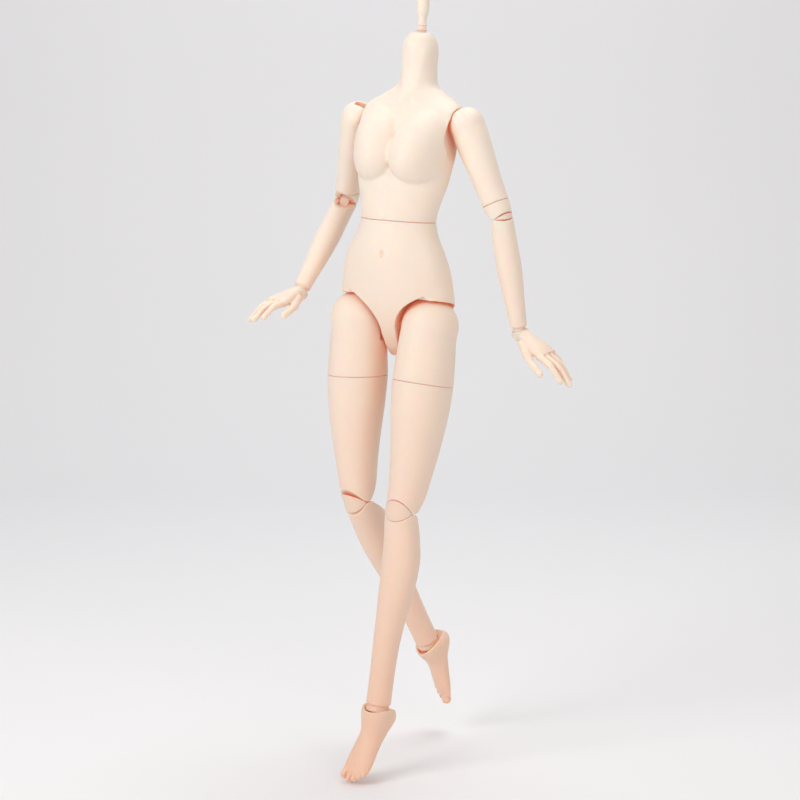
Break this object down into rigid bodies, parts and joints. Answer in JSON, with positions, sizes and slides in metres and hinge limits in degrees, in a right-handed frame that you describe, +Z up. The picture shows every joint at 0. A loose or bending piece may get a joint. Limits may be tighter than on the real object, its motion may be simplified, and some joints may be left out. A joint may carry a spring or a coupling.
{
  "type": "ball jointed doll",
  "caption": "Posable ball jointed doll body without a head, with a turning neck peg and waist, ball shoulders and hips, hinged elbows and knees, and jointed wrists and ankles.",
  "frame": {"origin": "centre of the flat top of the head peg, by which the doll is held up", "axes": "+Z up, -Y the way the chest faces, +X the doll's left side"},
  "size_m": [0.2335, 0.1785, 0.5901],
  "materials": {
    "skin": "matte",
    "link": "matte",
    "pin": "satin"
  },
  "bodies": {
    "chest": {"chest_shell": "skin", "neck_pin": "pin"},
    "neck": {"neck_ball": "link"},
    "head": {"head_peg": "skin"},
    "pelvis": {"pelvis_shell": "skin", "waist_post": "link"},
    "left_hip": {"left_hip_link": "link"},
    "left_thigh": {"left_thigh_upper": "skin", "left_hip_pin": "pin"},
    "left_thigh_end": {"left_thigh_lower": "skin", "left_knee_upper_pin": "pin"},
    "left_knee": {"left_knee_link": "link"},
    "left_calf": {"left_knee_lower_pin": "pin", "left_shin": "skin"},
    "left_ankle": {"left_ankle_link": "link"},
    "left_instep": {"left_ankle_pin": "pin", "left_foot": "skin"},
    "right_hip": {"right_hip_link": "link"},
    "right_thigh": {"right_thigh_upper": "skin", "right_hip_pin": "pin"},
    "right_thigh_end": {"right_thigh_lower": "skin", "right_knee_upper_pin": "pin"},
    "right_knee": {"right_knee_link": "link"},
    "right_calf": {"right_knee_lower_pin": "pin", "right_shin": "skin"},
    "right_ankle": {"right_ankle_link": "link"},
    "right_instep": {"right_ankle_pin": "pin", "right_foot": "skin"},
    "left_shoulder": {"left_shoulder_link": "link"},
    "left_bicep": {"left_upper_arm": "skin", "left_shoulder_pin": "pin"},
    "left_elbow_top": {"left_elbow_cup": "skin", "left_elbow_upper_pin": "pin"},
    "left_elbow_middle": {"left_elbow_link": "link"},
    "left_lower_arm": {"left_elbow_lower_pin": "pin", "left_forearm": "skin"},
    "left_wrist": {"left_wrist_link": "link"},
    "left_palm": {"left_wrist_pin": "pin", "left_hand": "skin"},
    "right_shoulder": {"right_shoulder_link": "link"},
    "right_bicep": {"right_upper_arm": "skin", "right_shoulder_pin": "pin"},
    "right_elbow_top": {"right_elbow_cup": "skin", "right_elbow_upper_pin": "pin"},
    "right_elbow_middle": {"right_elbow_link": "link"},
    "right_lower_arm": {"right_elbow_lower_pin": "pin", "right_forearm": "skin"},
    "right_wrist": {"right_wrist_link": "link"},
    "right_palm": {"right_wrist_pin": "pin", "right_hand": "skin"}
  },
  "joints": [
    {"name": "neck_nod", "type": "hinge", "parent": "chest", "child": "neck", "pos_m": [-0.00293, 0, -0.0419], "axis": [0.9976, 0, -0.0698], "range_deg": [-14, 14]},
    {"name": "head_turn", "type": "hinge", "parent": "neck", "child": "head", "pos_m": [-0.00293, 0, -0.0419], "axis": [0.0698, 0, 0.9976], "range_deg": [-80, 80]},
    {"name": "waist_turn", "type": "hinge", "parent": "chest", "child": "pelvis", "pos_m": [-0.01182, -0.01845, -0.16909], "axis": [0.0698, 0, 0.9976], "range_deg": [-35, 35]},
    {"name": "left_hip_swing", "type": "hinge", "parent": "pelvis", "child": "left_hip", "pos_m": [0.0135, -0.0154, -0.24855], "axis": [0.9976, 0, -0.0698], "range_deg": [-52, 12]},
    {"name": "left_hip_spread", "type": "hinge", "parent": "left_hip", "child": "left_thigh", "pos_m": [0.0135, -0.0154, -0.24855], "axis": [-0.0091, 0.9914, -0.1302], "range_deg": [-42, 3]},
    {"name": "left_thigh_turn", "type": "hinge", "parent": "left_thigh", "child": "left_thigh_end", "pos_m": [0.00932, -0.02101, -0.291], "axis": [0.097, 0.1305, 0.9867], "range_deg": [-40, 40]},
    {"name": "left_knee_upper", "type": "hinge", "parent": "left_thigh_end", "child": "left_knee", "pos_m": [0.00007, -0.03629, -0.38149], "axis": [0.9907, -0.1073, -0.0832], "range_deg": [-1, 45]},
    {"name": "left_knee_lower", "type": "hinge", "parent": "left_knee", "child": "left_calf", "pos_m": [-0.00096, -0.03748, -0.39217], "axis": [0.9907, -0.1073, -0.0832], "range_deg": [-1, 45]},
    {"name": "left_ankle_turn", "type": "hinge", "parent": "left_calf", "child": "left_ankle", "pos_m": [-0.01455, -0.04756, -0.54105], "axis": [0.0929, 0.0891, 0.9917], "range_deg": [-30, 30]},
    {"name": "left_ankle_bend", "type": "hinge", "parent": "left_ankle", "child": "left_instep", "pos_m": [-0.01455, -0.04756, -0.54105], "axis": [0.9713, -0.2271, -0.0706], "range_deg": [-20, 20]},
    {"name": "right_hip_swing", "type": "hinge", "parent": "pelvis", "child": "right_hip", "pos_m": [-0.04795, -0.0154, -0.24425], "axis": [0.9976, 0, -0.0698], "range_deg": [-15, 15]},
    {"name": "right_hip_spread", "type": "hinge", "parent": "right_hip", "child": "right_thigh", "pos_m": [-0.04795, -0.0154, -0.24425], "axis": [0.001, 0.9999, 0.0139], "range_deg": [-3, 42]},
    {"name": "right_thigh_turn", "type": "hinge", "parent": "right_thigh", "child": "right_thigh_end", "pos_m": [-0.04818, -0.0148, -0.28727], "axis": [0.0052, -0.0139, 0.9999], "range_deg": [-40, 40]},
    {"name": "right_knee_upper", "type": "hinge", "parent": "right_thigh_end", "child": "right_knee", "pos_m": [-0.04952, -0.0167, -0.37948], "axis": [0.9657, -0.2597, -0.0087], "range_deg": [-15.5, 30]},
    {"name": "right_knee_lower", "type": "hinge", "parent": "right_knee", "child": "right_calf", "pos_m": [-0.04881, -0.01374, -0.38983], "axis": [0.9657, -0.2597, -0.0087], "range_deg": [-15.5, 30]},
    {"name": "right_ankle_turn", "type": "hinge", "parent": "right_calf", "child": "right_ankle", "pos_m": [-0.02847, 0.0661, -0.51499], "axis": [-0.1309, -0.515, 0.8472], "range_deg": [-30, 30]},
    {"name": "right_ankle_bend", "type": "hinge", "parent": "right_ankle", "child": "right_instep", "pos_m": [-0.02847, 0.0661, -0.51499], "axis": [0.7803, -0.5806, -0.2324], "range_deg": [-34, 5]},
    {"name": "left_shoulder_swing", "type": "hinge", "parent": "chest", "child": "left_shoulder", "pos_m": [0.03937, -0.0063, -0.09929], "axis": [0.9976, 0, -0.0698], "range_deg": [-60, 25]},
    {"name": "left_shoulder_spread", "type": "hinge", "parent": "left_shoulder", "child": "left_bicep", "pos_m": [0.03937, -0.0063, -0.09929], "axis": [0.0029, 0.9991, 0.0418], "range_deg": [-60, 9]},
    {"name": "left_arm_turn", "type": "hinge", "parent": "left_bicep", "child": "left_elbow_top", "pos_m": [0.06181, -0.00397, -0.15649], "axis": [-0.3649, -0.0378, 0.9303], "range_deg": [-20, 75]},
    {"name": "left_elbow_upper", "type": "hinge", "parent": "left_elbow_top", "child": "left_elbow_middle", "pos_m": [0.06609, -0.00458, -0.16248], "axis": [-0.3961, -0.8979, -0.1919], "range_deg": [-22, 8]},
    {"name": "left_elbow_lower", "type": "hinge", "parent": "left_elbow_middle", "child": "left_lower_arm", "pos_m": [0.06829, -0.00365, -0.17136], "axis": [-0.3961, -0.8979, -0.1919], "range_deg": [-22, 8]},
    {"name": "left_wrist_turn", "type": "hinge", "parent": "left_lower_arm", "child": "left_wrist", "pos_m": [0.07547, 0.01051, -0.25245], "axis": [-0.109, -0.1615, 0.9808], "range_deg": [-90, 90]},
    {"name": "left_wrist_bend", "type": "hinge", "parent": "left_wrist", "child": "left_palm", "pos_m": [0.07547, 0.01051, -0.25245], "axis": [0.1979, 0.9634, 0.1807], "range_deg": [-8, 18]},
    {"name": "right_shoulder_swing", "type": "hinge", "parent": "chest", "child": "right_shoulder", "pos_m": [-0.0528, -0.0063, -0.09284], "axis": [0.9976, 0, -0.0698], "range_deg": [-70, 15]},
    {"name": "right_shoulder_spread", "type": "hinge", "parent": "right_shoulder", "child": "right_bicep", "pos_m": [-0.0528, -0.0063, -0.09284], "axis": [0.0268, 0.9232, 0.3834], "range_deg": [-5, 70]},
    {"name": "right_arm_turn", "type": "hinge", "parent": "right_bicep", "child": "right_elbow_top", "pos_m": [-0.07493, 0.01625, -0.1456], "axis": [0.3598, -0.3667, 0.858], "range_deg": [-45, 10]},
    {"name": "right_elbow_upper", "type": "hinge", "parent": "right_elbow_top", "child": "right_elbow_middle", "pos_m": [-0.07758, 0.02068, -0.15088], "axis": [0.932, 0.1854, -0.3116], "range_deg": [-12, 28.6]},
    {"name": "right_elbow_lower", "type": "hinge", "parent": "right_elbow_middle", "child": "right_lower_arm", "pos_m": [-0.08028, 0.0196, -0.15961], "axis": [0.932, 0.1854, -0.3116], "range_deg": [-12, 28.6]},
    {"name": "right_wrist_turn", "type": "hinge", "parent": "right_lower_arm", "child": "right_wrist", "pos_m": [-0.09242, -0.02935, -0.22506], "axis": [0.1549, 0.5733, 0.8046], "range_deg": [-90, 90]},
    {"name": "right_wrist_bend", "type": "hinge", "parent": "right_wrist", "child": "right_palm", "pos_m": [-0.09242, -0.02935, -0.22506], "axis": [0.9792, -0.1971, -0.0481], "range_deg": [-17, 9]}
  ]
}
